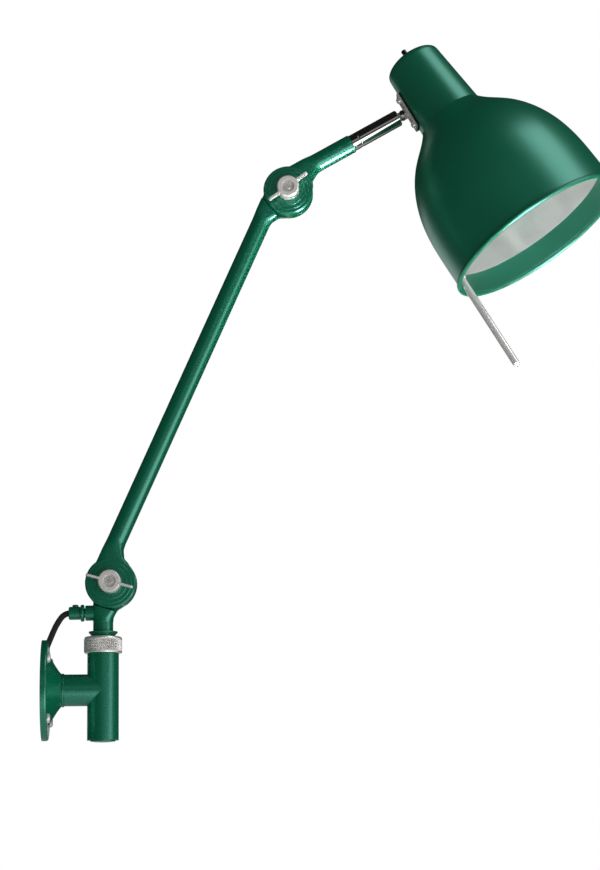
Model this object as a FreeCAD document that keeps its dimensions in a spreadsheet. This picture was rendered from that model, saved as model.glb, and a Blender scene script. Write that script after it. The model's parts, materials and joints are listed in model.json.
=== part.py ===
"""Articulating wall lamp: wall bracket, swivel post, two arms and a tilting bell shade.

All lengths are in millimetres. The origin is the centre of the wall flange's back face:
+X points away from the wall and +Z is up. The post and all that it carries are drawn with the
arms in the plane Y = 0, and are then swung about the socket's axis by the size post_swing.
"""
import FreeCAD, Part
import math
import os

import Sketcher
from FreeCAD import Placement, Rotation, Vector

DOC = FreeCAD.newDocument("wall_lamp")
X_AXIS = Vector(1, 0, 0)
Y_AXIS = Vector(0, 1, 0)
Z_AXIS = Vector(0, 0, 1)

# ---------------------------------------------------------------- driving dimensions

DRIVING = [
    # wall flange and the four screws that hold it
    ("flange_radius", 41.2), ("flange_thickness", 5.4), ("flange_rim_round", 1.8),
    ("trumpet_foot_radius", 29.8), ("trumpet_power", 1.2), ("hub_radius", 13.3),
    ("hub_length", 16.1), ("bead_radius", 13.8), ("bead_width", 2.1),
    ("screw_circle_radius", 34.5), ("screw_count", 4), ("screw_shank_radius", 2.4),
    ("screw_hole_radius", 2.6), ("screw_head_radius", 4.2), ("screw_head_height", 2.6),
    ("screw_end_gap", 0.2), ("screw_slot_width", 1.0), ("screw_slot_depth", 1.2),
    ("notch_width", 6.4), ("notch_depth", 6.6),
    # tee bracket: the branch from the flange and the upright socket
    ("socket_reach", 49.8), ("branch_radius", 13.0), ("spigot_radius", 9.7),
    ("spigot_length", 12.0), ("socket_radius", 13.0), ("socket_bore_radius", 9.5),
    ("socket_bottom", -41.0), ("socket_top", 38.6), ("thread_radius", 11.6),
    ("plug_radius", 10.3), ("plug_rim", 0.9), ("plug_depth", 5.0), ("plug_dome", 0.7),
    ("bush_length", 12.0), ("bush_height", -36.0), ("collet_length", 16.0),
    ("collet_lip_radius", 11.3), ("collet_lip", 1.6), ("collet_slots", 3), ("collet_slot_width", 1.2),
    # knurled clamp nut
    ("nut_radius", 15.7), ("nut_bottom", 30.0), ("nut_height", 13.6), ("nut_shoulder", 1.6),
    ("nut_chamfer", 0.7),
    ("knurl_count", 48), ("knurl_depth", 0.35),
    # swivel post
    ("post_swing", -4.0), ("stem_radius", 8.0), ("stem_bottom", -33.0), ("collar_radius", 12.0),
    ("collar_foot_radius", 9.1), ("collar_height", 4.0), ("post_neck_radius", 8.3), ("gland_height", 63.6),
    ("gland_stub_radius", 6.3), ("gland_stub_reach", 14.4), ("nipple_radius", 3.9),
    ("gland_ring_radius", 7.0), ("gland_ring_width", 2.7), ("gland_gap", 1.3),
    ("sleeve_radius", 5.4), ("sleeve_length", 9.2), ("sleeve_screw_radius", 2.6),
    ("sleeve_screw_height", 2.0), ("lead_diameter", 5.0),
    # lap joints
    ("ear_radius", 21.1), ("ear_thickness", 8.45), ("ear_bevel", 1.2), ("ear_step", 0.3),
    ("ear_boss_radius", 13.6), ("ear_ring_radius", 17.2), ("lap_gap", 0.6), ("shoulder_gap", 0.6),
    ("knuckle_fillet", 15.5), ("knuckle_length", 46.0), ("bolt_radius", 3.0),
    ("bolt_head_radius", 7.0), ("bolt_head_height", 3.6), ("washer_radius", 15.0),
    ("wing_hub_radius", 9.2), ("wing_hub_height", 11.3), ("wing_span", 40.0),
    ("wing_thickness", 1.8), ("wing_root_depth", 7.5), ("wing_tip_depth", 4.2),
    ("wing_recess_radius", 5.4), ("wing_recess_depth", 2.0),
    # lower joint, long arm, upper joint, short arm
    ("post_offset", 6.6), ("lower_pivot_height", 87.8), ("arm_offset", 10.6),
    ("arm_radius", 8.0), ("arm_bore_radius", 6.8), ("long_arm_length", 366.8),
    ("long_arm_angle", 65.73), ("short_arm_angle", 29.04), ("short_arm_reach", 68.4),
    ("lower_wing_angle", 164.0), ("upper_wing_angle", 36.0),
    # chromed stem between the short arm and the shade
    ("stem_tube_radius", 7.1), ("socket_visible", 7.4), ("socket_inner_gap", 2.4),
    ("stem_tube_end", 115.1), ("stem_spigot_radius", 5.0), ("spigot_inner_gap", 5.5),
    ("set_screw_radius", 1.5), ("tongue_thickness", 3.6), ("tongue_radius", 3.3),
    ("tongue_root_radius", 3.9), ("tilt_pivot_gap", 4.3), ("head_roll", 6.34), ("head_tilt", -87.1),
    # shade
    ("shade_length", 201.3), ("shade_wall", 1.2), ("mouth_radius", 81.0), ("rim_bead_radius", 2.1),
    ("cap_flat_radius", 7.6), ("cap_crown_radius", 15.2), ("cap_edge_radius", 24.9),
    ("cap_edge_depth", 10.5), ("neck_end_radius", 28.9), ("neck_end_depth", 67.5),
    ("pivot_depth", 43.1), ("pivot_to_axis", 33.6),
    ("green_band", 22.0), ("reflector_wall", 0.8), ("reflector_gap", 0.6),
    ("reflector_top_depth", 84.0), ("reflector_top_radius", 30.0),
    # hinge plate on the neck
    ("plate_length", 34.6), ("gasket_thickness", 1.0), ("plate_width", 13.0),
    ("plate_thickness", 1.6), ("cheek_thickness", 2.1),
    ("cheek_radius", 3.3), ("plate_screw_spacing", 26.0), ("plate_screw_radius", 1.5),
    ("plate_screw_head_radius", 2.6), ("plate_screw_head_height", 1.9), ("tilt_screw_radius", 1.5),
    ("tilt_head_radius", 2.7), ("tilt_head_height", 1.6),
    # lampholder, switch and handle
    ("holder_plate_depth", 20.0), ("holder_plate_thickness", 1.6), ("holder_radius", 20.0),
    ("holder_length", 46.0), ("holder_bore_radius", 13.45), ("holder_bore_depth", 30.0),
    ("contact_thickness", 4.0), ("nipple_pipe_radius", 5.0), ("nipple_pipe_length", 9.0),
    ("switch_body_radius", 7.5), ("switch_body_length", 14.0), ("switch_bush_radius", 4.4),
    ("switch_nut_radius", 5.5), ("switch_nut_height", 1.7), ("button_radius", 2.25),
    ("button_height", 6.0), ("button_stroke", 2.0),
    ("rod_radius", 3.15), ("rod_inside", 19.8), ("rod_outside", 81.7), ("rod_rim_gap", 7.7),
    ("rod_lean", 2.4), ("rod_bearing", 188.0), ("clip_length", 10.0), ("clip_inset", 1.5),
    ("clip_wall", 1.2), ("clip_foot_width", 6.0),
    # clearances
    ("running_fit", 0.05), ("free_gap", 0.3),
]

# Outside of the bell, as shares of the way from the neck's end to the mouth: (depth, radius).
BELL_CURVE = [
    (0.0710, 0.1536), (0.1854, 0.4539), (0.2877, 0.6430), (0.4372, 0.8138), (0.6016, 0.9060),
    (0.7885, 0.9395),
]

# Corners of the supply lead's centre line, from the gland to the notch in the flange:
# (X, share of the gland's sideways offset, Z).
LEAD_POINTS = [(17.4, 1.15, 63.3), (11.4, 0.80, 54.2), (8.0, 0.40, 46.4)]


class Size:
    """A number together with the spreadsheet formula that it comes from."""

    def __init__(self, number, formula):
        self.number = float(number)
        self.formula = formula

    def __float__(self):
        return self.number

    def _join(self, other, sign, number, swap=False):
        left, right = self.formula, formula_of(other)
        if swap:
            left, right = right, left
        return Size(number, "(" + left + " " + sign + " " + right + ")")

    def __add__(self, other):
        return self._join(other, "+", self.number + float(other))

    def __radd__(self, other):
        return self._join(other, "+", self.number + float(other), swap=True)

    def __sub__(self, other):
        return self._join(other, "-", self.number - float(other))

    def __rsub__(self, other):
        return self._join(other, "-", float(other) - self.number, swap=True)

    def __mul__(self, other):
        return self._join(other, "*", self.number * float(other))

    def __rmul__(self, other):
        return self._join(other, "*", self.number * float(other), swap=True)

    def __truediv__(self, other):
        return self._join(other, "/", self.number / float(other))

    def __neg__(self):
        return Size(-self.number, "(0 - " + self.formula + ")")


def formula_of(value):
    """The formula of a Size, or a plain number written out."""
    if isinstance(value, Size):
        return value.formula
    return repr(float(value))


class Dimensions:
    """The driving dimensions, each one a cell of the sheet and an attribute here."""

    def __init__(self, rows):
        self.sheet = DOC.addObject("Spreadsheet::Sheet", "dims")
        for row, (name, value) in enumerate(rows, start=1):
            self.sheet.set("A%d" % row, name)
            self.sheet.set("B%d" % row, str(value))
            self.sheet.setAlias("B%d" % row, name)
        DOC.recompute()
        for name, _ in rows:
            setattr(self, name, Size(getattr(self.sheet, name), "dims." + name))


D = Dimensions(DRIVING)


def bind(item, name, value):
    """Set a property from a Size and keep it bound to the sheet."""
    if isinstance(value, Size):
        item.setExpression(name, value.formula)
    else:
        setattr(item, name, value)


# ---------------------------------------------------------------- modelling helpers

SUB_PARTS = []


def vec(x, y, z):
    return Vector(float(x), float(y), float(z))


def place(base=None, axis=Z_AXIS, angle=0.0):
    return Placement(base or Vector(), Rotation(axis, float(angle)))


def toward(direction, base=None):
    """A placement that turns +Z to the given direction."""
    return Placement(base or Vector(), Rotation(Z_AXIS, direction))


def frame(origin, x_dir, z_dir):
    """A placement whose X and Z axes are the given perpendicular unit vectors."""
    y_dir = z_dir.cross(x_dir)
    matrix = FreeCAD.Matrix(
        x_dir.x, y_dir.x, z_dir.x, origin.x,
        x_dir.y, y_dir.y, z_dir.y, origin.y,
        x_dir.z, y_dir.z, z_dir.z, origin.z,
        0, 0, 0, 1)
    return Placement(matrix)


def cylinder(radius, length, where=None):
    item = DOC.addObject("Part::Cylinder", "cylinder")
    bind(item, "Radius", radius)
    bind(item, "Height", length)
    item.Placement = where or Placement()
    return item


def cone(bottom, top, length, where=None):
    item = DOC.addObject("Part::Cone", "cone")
    bind(item, "Radius1", bottom)
    bind(item, "Radius2", top)
    bind(item, "Height", length)
    item.Placement = where or Placement()
    return item


def box(length, width, height, where=None):
    """A box centred on X and Y that stands on Z = 0 of its placement."""
    item = DOC.addObject("Part::Box", "box")
    bind(item, "Length", length)
    bind(item, "Width", width)
    bind(item, "Height", height)
    middle = Placement(vec(-float(length) / 2, -float(width) / 2, 0), Rotation())
    item.Placement = (where or Placement()).multiply(middle)
    return item


def fused(*items):
    item = DOC.addObject("Part::MultiFuse", "fuse")
    item.Shapes = list(items)
    item.Refine = True
    return item


def cut(base, *tools):
    for tool in tools:
        item = DOC.addObject("Part::Cut", "cut")
        item.Base = base
        item.Tool = tool
        base = item
    return base


def solid(shape):
    """A shape made by formula, kept as an object of the document."""
    item = DOC.addObject("Part::Feature", "form")
    item.Shape = shape
    return item


def sub_part(item, label, where=None):
    """Name a finished sub-part and put it in its place."""
    item.Label = label
    if where is not None:
        item.Placement = where.multiply(item.Placement)
    SUB_PARTS.append(item)
    return item


def origin_item(body, role):
    return [item for item in body.Origin.OriginFeatures if item.Role == role][0]


def new_sketch(body, plane="XZ_Plane", height=None):
    sketch = body.newObject("Sketcher::SketchObject", "sketch")
    sketch.AttachmentSupport = (origin_item(body, plane), [""])
    sketch.MapMode = "FlatFace"
    if height is not None:
        sketch.AttachmentOffset = place(vec(0, 0, height))
        bind(sketch, "AttachmentOffset.Base.z", height)
    return sketch


def hold_point(sketch, edge, end, x, y):
    """Fix one end of an edge at a distance from the sketch's origin."""
    for kind, value in (("DistanceX", x), ("DistanceY", y)):
        index = sketch.addConstraint(Sketcher.Constraint(kind, -1, 1, edge, end, float(value)))
        if isinstance(value, Size):
            sketch.setExpression("Constraints[%d]" % index, value.formula)


def outline(sketch, corners):
    """Draw a closed outline of straight lines through the corners."""
    count = len(corners)
    spots = [vec(x, y, 0) for x, y in corners]
    for index in range(count):
        sketch.addGeometry(Part.LineSegment(spots[index], spots[(index + 1) % count]), False)
    for index in range(count):
        sketch.addConstraint(Sketcher.Constraint("Coincident", index, 2, (index + 1) % count, 1))
    for index, (x, y) in enumerate(corners):
        hold_point(sketch, index, 1, x, y)


def ring_outline(sketch, radius, x=0.0, y=0.0):
    """Draw a circle with its centre and radius bound."""
    sketch.addGeometry(Part.Circle(vec(x, y, 0), Z_AXIS, float(radius)), False)
    hold_point(sketch, 0, 3, x, y)
    index = sketch.addConstraint(Sketcher.Constraint("Radius", 0, float(radius)))
    sketch.setExpression("Constraints[%d]" % index, formula_of(radius))


def turned(corners):
    """A body turned about Z from an outline of (radius, height) corners."""
    body = DOC.addObject("PartDesign::Body", "turned")
    sketch = new_sketch(body)
    outline(sketch, corners)
    feature = body.newObject("PartDesign::Revolution", "turn")
    feature.Profile = sketch
    feature.ReferenceAxis = (sketch, ["V_Axis"])
    feature.Angle = 360
    return body


def round_rings(body, rings, radius):
    """Round the circular edges of a turned body at the given (radius, height) pairs."""
    DOC.recompute()
    tip = body.Tip
    names = []
    for index, edge in enumerate(tip.Shape.Edges, start=1):
        if not isinstance(edge.Curve, Part.Circle):
            continue
        for ring_radius, height in rings:
            near_radius = abs(edge.Curve.Radius - float(ring_radius)) < 0.01
            if near_radius and abs(edge.Curve.Center.z - float(height)) < 0.01:
                names.append("Edge%d" % index)
    feature = body.newObject("PartDesign::Fillet", "round")
    feature.Base = (tip, names)
    bind(feature, "Radius", radius)
    return body


def pocket_pattern(body, draw, depth, count=None, plane="XY_Plane", height=None, reverse=False,
                   both=False):
    """Cut a pocket drawn by draw(sketch) and repeat it round Z."""
    DOC.recompute()
    before = body.Shape.Volume
    sketch = new_sketch(body, plane, height)
    draw(sketch)
    pocket = body.newObject("PartDesign::Pocket", "pocket")
    pocket.Profile = sketch
    bind(pocket, "Length", depth)
    pocket.Midplane = both
    pocket.Reversed = reverse
    if count is not None:
        pattern = body.newObject("PartDesign::PolarPattern", "pattern")
        pattern.Originals = [pocket]
        pattern.Axis = (origin_item(body, "Z_Axis"), [""])
        pattern.Angle = 360
        bind(pattern, "Occurrences", count)
        body.Tip = pattern
    DOC.recompute()
    if body.Shape.Volume > before - 0.001:
        raise ValueError("a pocket cuts nothing in " + body.Label)
    return body


# ---------------------------------------------------------------- frames of the moving bodies

def polar(angle):
    """Unit vector in the plane Y = 0, at an angle above +X."""
    turn = math.radians(float(angle))
    return vec(math.cos(turn), 0, math.sin(turn))


LAP = D.lap_gap / 2
EAR_FACE = LAP + D.ear_thickness
LOWER_PIVOT = vec(D.socket_reach + D.post_offset, 0, D.lower_pivot_height)
LONG_DIR = polar(D.long_arm_angle)
LONG_SIDE = polar(D.long_arm_angle + 90)
UPPER_PIVOT = LOWER_PIVOT + LONG_DIR * float(D.long_arm_length)
SHORT_DIR = polar(D.short_arm_angle)
SHORT_SIDE = polar(D.short_arm_angle + 90)
SHORT_FOOT = UPPER_PIVOT + SHORT_SIDE * float(D.arm_offset)

# The swing of the post, and of all that it carries, about the socket's axis.
SWING = Placement(Vector(), Rotation(Z_AXIS, float(D.post_swing)), vec(D.socket_reach, 0, 0))

# The knuckle frames: X runs along the neck, Z to the offset side, and the ear is on -Y.
POST_KNUCKLE = frame(LOWER_PIVOT, Z_AXIS * -1, X_AXIS * -1)
LONG_LOWER_KNUCKLE = frame(LOWER_PIVOT, LONG_DIR, LONG_SIDE)
LONG_UPPER_KNUCKLE = frame(UPPER_PIVOT, LONG_DIR * -1, LONG_SIDE)
SHORT_KNUCKLE = frame(UPPER_PIVOT, SHORT_DIR, SHORT_SIDE)

# The stem frame: X along the short arm's tube from its foot, rolled about it by the head's roll.
ROLL = math.radians(float(D.head_roll))
ROLLED_SIDE = SHORT_SIDE * math.cos(ROLL) + Y_AXIS * math.sin(ROLL)
STEM = frame(SHORT_FOOT, SHORT_DIR, ROLLED_SIDE)
TILT_REACH = D.stem_tube_end + D.tilt_pivot_gap
TILT_PIVOT = SHORT_FOOT + SHORT_DIR * float(TILT_REACH)

# The shade frame: Z down the shade's axis from the top of its cap, X away from the stem.
TILT = math.radians(float(D.head_tilt))
SHADE_AXIS = SHORT_DIR * math.cos(TILT) + ROLLED_SIDE * math.sin(TILT)
SHADE_OUT = (SHORT_DIR - SHADE_AXIS * SHORT_DIR.dot(SHADE_AXIS)).normalize()
CAP_TOP = TILT_PIVOT + SHADE_OUT * float(D.pivot_to_axis) - SHADE_AXIS * float(D.pivot_depth)
SHADE = frame(CAP_TOP, SHADE_OUT, SHADE_AXIS)


# ---------------------------------------------------------------- wall bracket

NOTCH_FLOOR = D.flange_radius - D.notch_depth


def make_flange():
    """Round flange with a trumpet hub, a bead, four screw holes and a notch for the lead."""
    steps = 8
    curve = []
    for step in range(steps + 1):
        rise = step / steps
        share = (1 - rise) ** float(D.trumpet_power)
        radius = D.hub_radius + (D.trumpet_foot_radius - D.hub_radius) * share
        height = D.flange_thickness + (D.hub_length - D.flange_thickness) * rise
        curve.append((radius, height))
    bead_top = D.hub_length + D.bead_width
    bead_round = D.bead_width * 0.2
    bore = D.spigot_radius + D.running_fit
    corners = [(bore, 0), (D.flange_radius, 0), (D.flange_radius, D.flange_thickness)]
    corners += curve
    corners += [(D.bead_radius, D.hub_length + bead_round), (D.bead_radius, bead_top - bead_round)]
    corners += [(D.hub_radius, bead_top), (bore, bead_top)]
    body = turned(corners)
    round_rings(body, [(D.flange_radius, D.flange_thickness)], D.flange_rim_round)

    def screw_hole(sketch):
        reach = D.screw_circle_radius * math.sqrt(0.5)
        ring_outline(sketch, D.screw_hole_radius, reach, reach)

    pocket_pattern(body, screw_hole, D.flange_thickness, D.screw_count, reverse=True)

    def notch(sketch):
        half = D.notch_width / 2
        top = D.flange_radius + 1
        outline(sketch, [(-top, -half), (-NOTCH_FLOOR, -half), (-NOTCH_FLOOR, half), (-top, half)])

    pocket_pattern(body, notch, D.flange_thickness, reverse=True)
    return sub_part(body, "wall_flange", place(axis=Y_AXIS, angle=90))


def make_screws():
    """Four pan-head screws, one in each hole of the flange, ended at the flange's back face."""
    head_round = D.screw_head_height * 0.6
    shank = D.screw_shank_radius
    screws = []
    for index in range(int(float(D.screw_count))):
        body = turned([
            (0, D.screw_end_gap), (shank, D.screw_end_gap),
            (shank, D.flange_thickness), (D.screw_head_radius, D.flange_thickness),
            (D.screw_head_radius, D.flange_thickness + D.screw_head_height - head_round),
            (D.screw_head_radius * 0.8, D.flange_thickness + D.screw_head_height - 0.4),
            (D.screw_head_radius * 0.45, D.flange_thickness + D.screw_head_height),
            (0, D.flange_thickness + D.screw_head_height)])

        def slot(sketch):
            half = D.screw_slot_width / 2
            arm = D.screw_head_radius * 0.62
            outline(sketch, [
                (-arm, -half), (-half, -half), (-half, -arm), (half, -arm), (half, -half),
                (arm, -half), (arm, half), (half, half), (half, arm), (-half, arm),
                (-half, half), (-arm, half)])

        pocket_pattern(body, slot, D.screw_slot_depth,
                       height=D.flange_thickness + D.screw_head_height)
        turn = math.radians(45 + 360.0 / float(D.screw_count) * index)
        reach = float(D.screw_circle_radius)
        spot = vec(0, reach * math.sin(turn), reach * math.cos(turn))
        body.Placement = Placement(spot, Rotation(Y_AXIS, 90)).multiply(body.Placement)
        screws.append(body)
    group = DOC.addObject("Part::Compound", "screws")
    group.Links = screws
    return sub_part(group, "wall_screws")


def make_tee():
    """Branch tube from the flange and the upright socket, with a sharp saddle between them."""
    along = Rotation(Y_AXIS, 90)
    bead_top = D.hub_length + D.bead_width
    branch = cylinder(D.branch_radius, D.socket_reach - bead_top,
                      Placement(vec(bead_top, 0, 0), along))
    spigot = cylinder(D.spigot_radius, D.spigot_length + 4,
                      Placement(vec(bead_top - D.spigot_length, 0, 0), along))
    middle = vec(D.socket_reach, 0, 0)
    socket = cylinder(D.socket_radius, D.nut_bottom - D.free_gap - D.socket_bottom,
                      Placement(middle + vec(0, 0, D.socket_bottom), Rotation()))
    thread = cylinder(D.thread_radius, D.socket_top - D.socket_bottom,
                      Placement(middle + vec(0, 0, D.socket_bottom), Rotation()))
    bore = cylinder(D.socket_bore_radius, D.socket_top - D.socket_bottom,
                    Placement(middle + vec(0, 0, D.socket_bottom), Rotation()))
    return sub_part(cut(fused(branch, spigot, socket, thread), bore), "tee_bracket")


def make_plug():
    """Domed plug in the open foot of the socket."""
    stem = D.socket_bore_radius - D.running_fit
    body = turned([
        (0, -D.plug_rim - D.plug_dome), (D.plug_radius * 0.6, -D.plug_rim - D.plug_dome * 0.7),
        (D.plug_radius, -D.plug_rim), (D.plug_radius, 0), (stem, 0), (stem, D.plug_depth - 1),
        (stem - 0.8, D.plug_depth), (0, D.plug_depth)])
    return sub_part(body, "socket_plug", place(vec(D.socket_reach, 0, D.socket_bottom)))


def make_bush():
    """Plain bush near the foot of the socket that centres the post's stem."""
    inner = D.stem_radius + D.running_fit
    outer = D.socket_bore_radius - D.running_fit
    body = turned([(inner, 0), (outer, 0), (outer, D.bush_length), (inner, D.bush_length)])
    return sub_part(body, "socket_bush", place(vec(D.socket_reach, 0, D.bush_height)))


def make_collet():
    """Slotted collet that the clamp nut closes on the post's stem."""
    inner = D.stem_radius + D.running_fit
    outer = D.socket_bore_radius - D.running_fit
    body = turned([
        (inner, -D.collet_length), (outer, -D.collet_length), (outer, 0), (D.collet_lip_radius, 0),
        (D.collet_lip_radius, D.collet_lip * 0.5), (D.collet_lip_radius - 0.9, D.collet_lip),
        (inner, D.collet_lip)])

    def slot(sketch):
        half = D.collet_slot_width / 2
        outline(sketch, [(inner - 1, -half), (outer + 1, -half), (outer + 1, half), (inner - 1, half)])

    pocket_pattern(body, slot, D.collet_length * 0.8, D.collet_slots, height=-D.collet_length,
                   reverse=True)
    return sub_part(body, "clamp_collet", place(vec(D.socket_reach, 0, D.socket_top)))


def make_clamp_nut():
    """Knurled ring nut with rounded shoulders that closes the collet."""
    top = D.nut_height
    ceiling = D.socket_top + D.collet_lip + D.free_gap - D.nut_bottom
    bore = D.thread_radius + D.running_fit
    hole = D.stem_radius + D.free_gap
    edge = D.nut_shoulder
    body = turned([
        (bore, 0), (D.nut_radius - D.nut_chamfer, 0), (D.nut_radius, D.nut_chamfer),
        (D.nut_radius, top - edge * 1.6),
        (D.nut_radius - edge * 0.3, top - edge * 0.75), (D.nut_radius - edge, top - edge * 0.2),
        (D.nut_radius - edge * 1.7, top), (hole, top), (hole, ceiling), (bore, ceiling)])

    def groove(sketch):
        half = D.knurl_depth * 1.1
        outline(sketch, [(D.nut_radius - D.knurl_depth, 0), (D.nut_radius + 0.2, -half),
                         (D.nut_radius + 0.2, half)])

    pocket_pattern(body, groove, top - edge * 1.6 - D.nut_chamfer, D.knurl_count,
                   height=D.nut_chamfer, reverse=True)
    return sub_part(body, "clamp_nut", place(vec(D.socket_reach, 0, D.nut_bottom)))


# ---------------------------------------------------------------- lap-joint knuckles

def oval_wire(along, low, high, half_depth, power):
    """A closed superellipse across the neck: low to high on Z, half_depth each way on Y."""
    count = 28
    middle = (low + high) / 2
    half = (high - low) / 2
    points = []
    for index in range(count):
        turn = 2 * math.pi * (index + 0.5) / count
        cosine, sine = math.cos(turn), math.sin(turn)
        across = math.copysign(abs(cosine) ** (2 / power), cosine)
        depth = math.copysign(abs(sine) ** (2 / power), sine)
        points.append(vec(along, depth * half_depth, middle + across * half))
    curve = Part.BSplineCurve()
    curve.interpolate(Points=points, PeriodicFlag=True)
    return Part.Wire([curve.toShape()])


def knuckle_shape(offset, neck_radius, length):
    """Half-lapped ear and the neck that flows from it into a round tube.

    X runs along the neck from the pivot, Z to the offset side, and the ear is on -Y.
    """
    ear_radius, fillet = float(D.ear_radius), float(D.knuckle_fillet)
    high = float(offset) + float(neck_radius)
    low = float(offset) - float(neck_radius)
    fillet_z = low - fillet
    fillet_x = math.sqrt((ear_radius + fillet) ** 2 - fillet_z ** 2)
    meet_x = fillet_x * ear_radius / (ear_radius + fillet)
    inset = 0.2
    ear_depth = float(LAP + D.ear_thickness - D.ear_step * 2) - inset
    round_depth = float(neck_radius)
    start_power, end_power = 5.0, 2.0

    def flank(x):
        return fillet_z + math.sqrt(max(fillet ** 2 - (fillet_x - x) ** 2, 0.0))

    # The neck starts inside the ear with flat sides and ends round, a hair wider than the tube.
    inner_x = ear_radius * 0.3
    root_low = flank(meet_x)
    sections = []
    for share in (0.0, 0.5, 0.85):
        x = inner_x + (meet_x - inner_x) * share
        sections.append(oval_wire(x, root_low, high, ear_depth, start_power))
    count = 6
    hair = 0.02
    for index in range(count):
        share = index / (count - 1)
        x = meet_x + (fillet_x - meet_x) * share
        ease = share * share * (3 - 2 * share)
        depth = ear_depth + (round_depth + hair - ear_depth) * ease
        power = start_power + (end_power - start_power) * ease
        sections.append(oval_wire(x, flank(x) - hair * ease, high + hair * ease, depth, power))
    neck = Part.makeLoft(sections, True, False)
    tube = Part.makeCylinder(round_depth, float(length) - fillet_x,
                             vec(fillet_x, 0, offset), X_AXIS)

    disc = Part.Face(Part.makePolygon([
        vec(0, -LAP, 0), vec(D.ear_radius, -LAP, 0),
        vec(D.ear_radius, D.ear_bevel + D.ear_step * 2 - EAR_FACE, 0),
        vec(D.ear_radius - D.ear_bevel, D.ear_step * 2 - EAR_FACE, 0),
        vec(D.ear_ring_radius + D.ear_step, D.ear_step * 2 - EAR_FACE, 0),
        vec(D.ear_ring_radius, D.ear_step - EAR_FACE, 0),
        vec(D.ear_boss_radius + D.ear_step, D.ear_step - EAR_FACE, 0),
        vec(D.ear_boss_radius, -EAR_FACE, 0), vec(0, -EAR_FACE, 0), vec(0, -LAP, 0)]))
    ear = disc.revolve(Vector(), Y_AXIS, 360)

    # The mating ear's room: past the lap plane, up to a straight shoulder square to the neck.
    shoulder = float(D.ear_radius + D.shoulder_gap)
    lean = math.degrees(math.atan2(float(offset), shoulder * 0.93))
    room_size = ear_radius * 4
    room = Part.makeBox(room_size, room_size, room_size,
                        vec(shoulder - room_size, -LAP, -room_size / 2))
    room.rotate(Vector(), Y_AXIS, -lean)
    through = float(EAR_FACE) * 4
    bolt_hole = Part.makeCylinder(float(D.bolt_radius + D.running_fit), through,
                                  vec(0, -through / 2, 0), Y_AXIS)
    blank = neck.fuse([tube, ear])
    return blank.cut(room).cut(bolt_hole).removeSplitter()


def make_arm_knuckle(label, where, bore_end):
    """End casting of an arm: a knuckle with a spigot that fits in the arm's tube."""
    shape = knuckle_shape(D.arm_offset, D.arm_radius, D.knuckle_length)
    spigot = Part.makeCylinder(float(D.arm_bore_radius - D.running_fit), float(bore_end),
                               vec(D.knuckle_length - 0.5, 0, D.arm_offset), X_AXIS)
    return sub_part(solid(shape.fuse(spigot).removeSplitter()), label, where)


def make_bolt(label, where):
    """Bolt through both ears, with a domed head on the side away from the wing nut."""
    wing_face = EAR_FACE + D.wing_hub_height
    head = D.bolt_head_height
    body = turned([
        (0, -wing_face + 0.4), (D.bolt_radius - 0.5, -wing_face + 0.4),
        (D.bolt_radius, 0.9 - wing_face), (D.bolt_radius, EAR_FACE),
        (D.bolt_head_radius, EAR_FACE), (D.bolt_head_radius * 0.97, EAR_FACE + head * 0.35),
        (D.bolt_head_radius * 0.8, EAR_FACE + head * 0.7),
        (D.bolt_head_radius * 0.45, EAR_FACE + head * 0.94), (0, EAR_FACE + head)])
    return sub_part(body, label, where.multiply(place(axis=X_AXIS, angle=-90)))


def make_washer(label, where):
    """Friction washer between the two ears, with a running clearance to each."""
    hole = D.bolt_radius + D.running_fit
    half = LAP - D.running_fit
    body = turned([(hole, -half), (D.washer_radius, -half), (D.washer_radius, half), (hole, half)])
    return sub_part(body, label, where.multiply(place(axis=X_AXIS, angle=-90)))


def make_wing_nut(label, pivot, wing_angle):
    """Wing nut on the bolt's front end, with two thin tapering wings."""
    top = D.wing_hub_height
    hub = turned([
        (D.bolt_radius + D.running_fit, 0), (D.wing_hub_radius - 0.3, 0),
        (D.wing_hub_radius, 0.3), (D.wing_hub_radius, top - 0.8), (D.wing_hub_radius - 0.8, top),
        (D.wing_recess_radius, top), (D.wing_recess_radius - 0.3, top - D.wing_recess_depth),
        (D.bolt_radius + D.running_fit, top - D.wing_recess_depth)])
    wing = DOC.addObject("PartDesign::Body", "wing")
    sketch = new_sketch(wing)
    root = D.wing_hub_radius - 2
    tip = D.wing_span / 2
    outline(sketch, [
        (root, top - D.wing_root_depth), (D.wing_hub_radius + 2, top - D.wing_root_depth + 0.6),
        (tip - 1, top - D.wing_tip_depth), (tip, top - D.wing_tip_depth + 1),
        (tip, top - 1.2), (tip - 1.2, top), (root, top)])
    pad = wing.newObject("PartDesign::Pad", "pad")
    pad.Profile = sketch
    bind(pad, "Length", D.wing_thickness)
    pad.Midplane = True
    pattern = wing.newObject("PartDesign::PolarPattern", "pair")
    pattern.Originals = [pad]
    pattern.Axis = (origin_item(wing, "Z_Axis"), [""])
    pattern.Angle = 360
    pattern.Occurrences = 2
    wing.Tip = pattern
    front = vec(0, -EAR_FACE - D.free_gap / 3, 0)
    turn = Placement(pivot + front, Rotation(Y_AXIS, -float(wing_angle)))
    return sub_part(fused(hub, wing), label, turn.multiply(place(axis=X_AXIS, angle=90)))


# ---------------------------------------------------------------- swivel post

STUB_END = D.socket_reach - D.gland_stub_reach
RING_START = STUB_END - D.gland_gap
SLEEVE_START = RING_START - D.gland_ring_width - D.gland_gap / 2
SLEEVE_END = SLEEVE_START - D.sleeve_length
LEAD_BORE = D.lead_diameter / 2 + 0.1


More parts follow.
